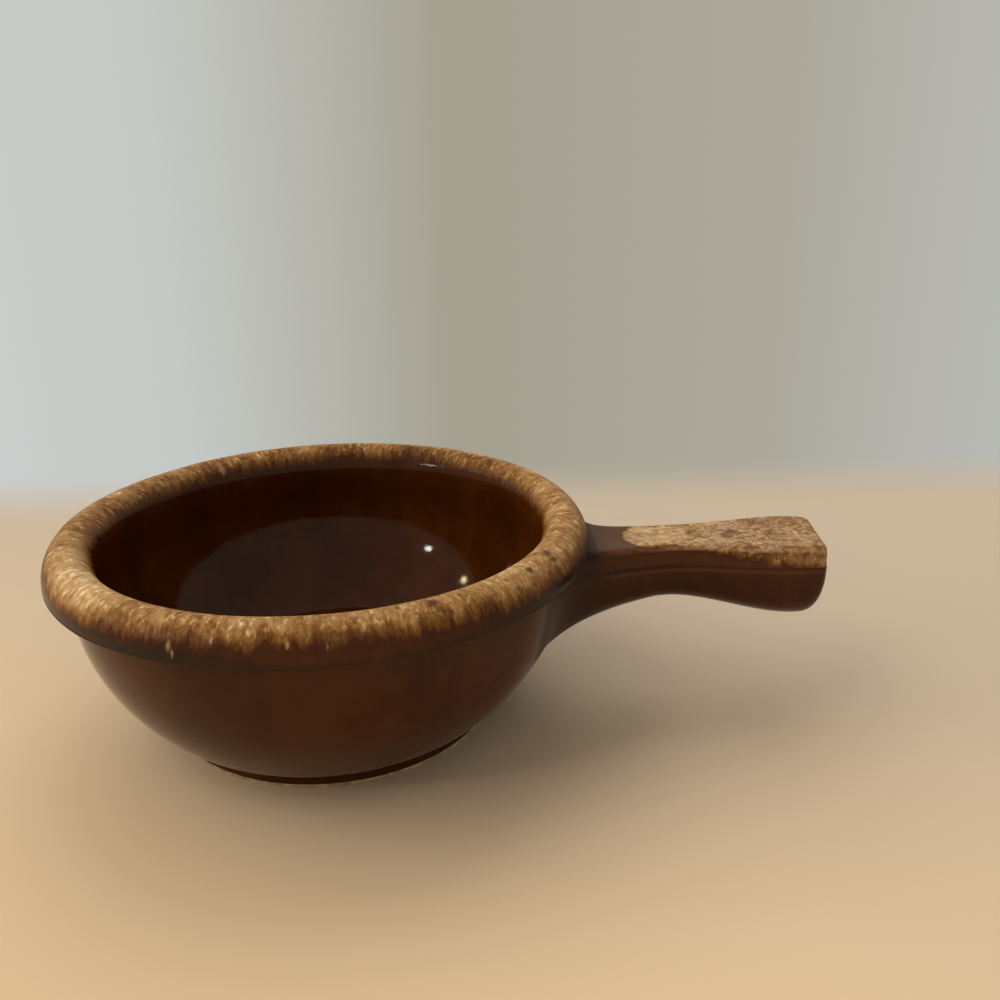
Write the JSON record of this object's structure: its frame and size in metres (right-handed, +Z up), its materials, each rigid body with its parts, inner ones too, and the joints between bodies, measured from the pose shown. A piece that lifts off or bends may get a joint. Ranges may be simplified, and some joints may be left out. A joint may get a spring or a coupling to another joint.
{
  "type": "soup bowl",
  "caption": "Round handled soup bowl in glazed stoneware, with a rolled rim, a low foot ring and a flat-topped side handle.",
  "frame": {"origin": "middle of the foot ring's flat underside, on the table", "axes": "+X along the handle, away from the bowl; +Z up through the open rim; +Y to the left of someone who looks along the handle from the bowl"},
  "size_m": [0.1946, 0.133, 0.0528],
  "materials": {
    "clay": "bare fired stoneware, matt, seen only on the foot ring",
    "slip": "fired slip, hidden in the joint",
    "lining_brown": "glossy dark brown glaze",
    "wall_brown": "glossy dark brown glaze",
    "foot_brown": "glossy dark brown glaze",
    "rim_tan": "glossy streaked tan drip glaze over brown",
    "handle_brown": "glossy dark brown glaze",
    "handle_tan": "glossy mottled tan glaze over brown"
  },
  "bodies": {
    "root": {"bowl_body": "clay", "handle": "clay", "joint_slip": "slip", "lining_glaze": "lining_brown", "wall_glaze": "wall_brown", "foot_glaze": "foot_brown", "rim_glaze": "rim_tan", "handle_glaze": "handle_brown", "handle_top_glaze": "handle_tan"}
  },
  "joints": []
}
